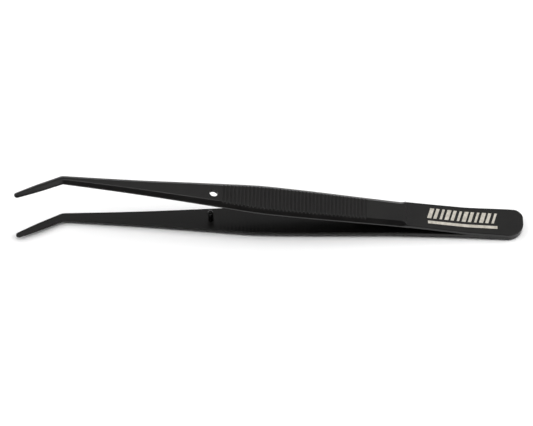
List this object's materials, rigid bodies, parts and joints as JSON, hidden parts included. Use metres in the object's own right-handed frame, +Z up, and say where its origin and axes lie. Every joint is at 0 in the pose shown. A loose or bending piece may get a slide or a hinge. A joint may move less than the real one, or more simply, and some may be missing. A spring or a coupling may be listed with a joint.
{
  "type": "bent-nose guide-pin tweezers",
  "caption": "Black coated spring-steel tweezers: two leaves welded at the tail, ribbed grips, a guide pin with its hole, and slender tips bent to one side.",
  "frame": {"origin": "on the surface the tweezers lie on, under the middle of their outline, at rest", "axes": "+X points to the welded tail and -X to the tips, +Y is the side away from the bent tips, +Z is up, the way the arms open"},
  "size_m": [0.1546, 0.0128, 0.0237],
  "materials": {
    "coated_steel": "satin black coated spring steel",
    "coated_pin": "satin black coated turned steel",
    "bare_steel": "fused bare steel"
  },
  "bodies": {
    "tail": {"upper_tail_leaf": "coated_steel", "lower_tail_leaf": "coated_steel", "weld_nuggets": "bare_steel", "upper_spring_leaf": "coated_steel", "lower_spring_leaf": "coated_steel"},
    "upper_arm_body": {"upper_arm": "coated_steel"},
    "lower_arm_body": {"lower_arm": "coated_steel", "guide_pin": "coated_pin"}
  },
  "joints": [
    {"name": "upper_squeeze", "type": "hinge", "parent": "tail", "child": "upper_arm_body", "pos_m": [0.0524, 0.00135, 0.00433], "axis": [0, -1, 0], "range_deg": [0, 4.64], "stiffness_Nm_per_rad": 3.5, "deforming": ["upper_spring_leaf"]},
    {"name": "lower_squeeze", "type": "hinge", "parent": "tail", "child": "lower_arm_body", "pos_m": [0.05222, 0.00135, 0.00184], "axis": [0, 1, 0], "range_deg": [0, 4.64], "stiffness_Nm_per_rad": 3.5, "deforming": ["lower_spring_leaf"]}
  ],
  "couplings": [
    {"joint": "upper_squeeze", "follows": "lower_squeeze", "ratio": 1}
  ]
}
